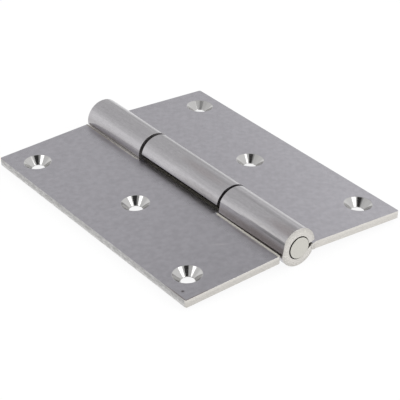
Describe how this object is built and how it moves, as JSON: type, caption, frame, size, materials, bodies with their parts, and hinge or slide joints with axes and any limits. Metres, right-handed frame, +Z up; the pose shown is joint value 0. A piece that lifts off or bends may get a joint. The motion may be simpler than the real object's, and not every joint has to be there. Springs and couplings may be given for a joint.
{
  "type": "butt hinge",
  "caption": "Open steel butt hinge of folded sheet, with interleaved knuckles on a plain pin and countersunk screw holes in both leaves.",
  "frame": {"origin": "on the table under the middle of the pin, which the barrel stands on", "axes": "+Y along the pin, +X towards the leaf with two knuckles, +Z up out of the countersunk faces"},
  "size_m": [0.0798, 0.102, 0.0124],
  "materials": {
    "leaf_steel": "satin mill finish",
    "pin_steel": "turned, sawn ends"
  },
  "bodies": {
    "pin_leaf": {"leaf_two_knuckles": "leaf_steel", "hinge_pin": "pin_steel"},
    "turning_leaf": {"leaf_one_knuckle": "leaf_steel"}
  },
  "joints": [
    {"name": "hinge_turn", "type": "hinge", "parent": "pin_leaf", "child": "turning_leaf", "pos_m": [0, 0, 0.00615], "axis": [0, 1, 0], "range_deg": [-124, 185.6]}
  ]
}
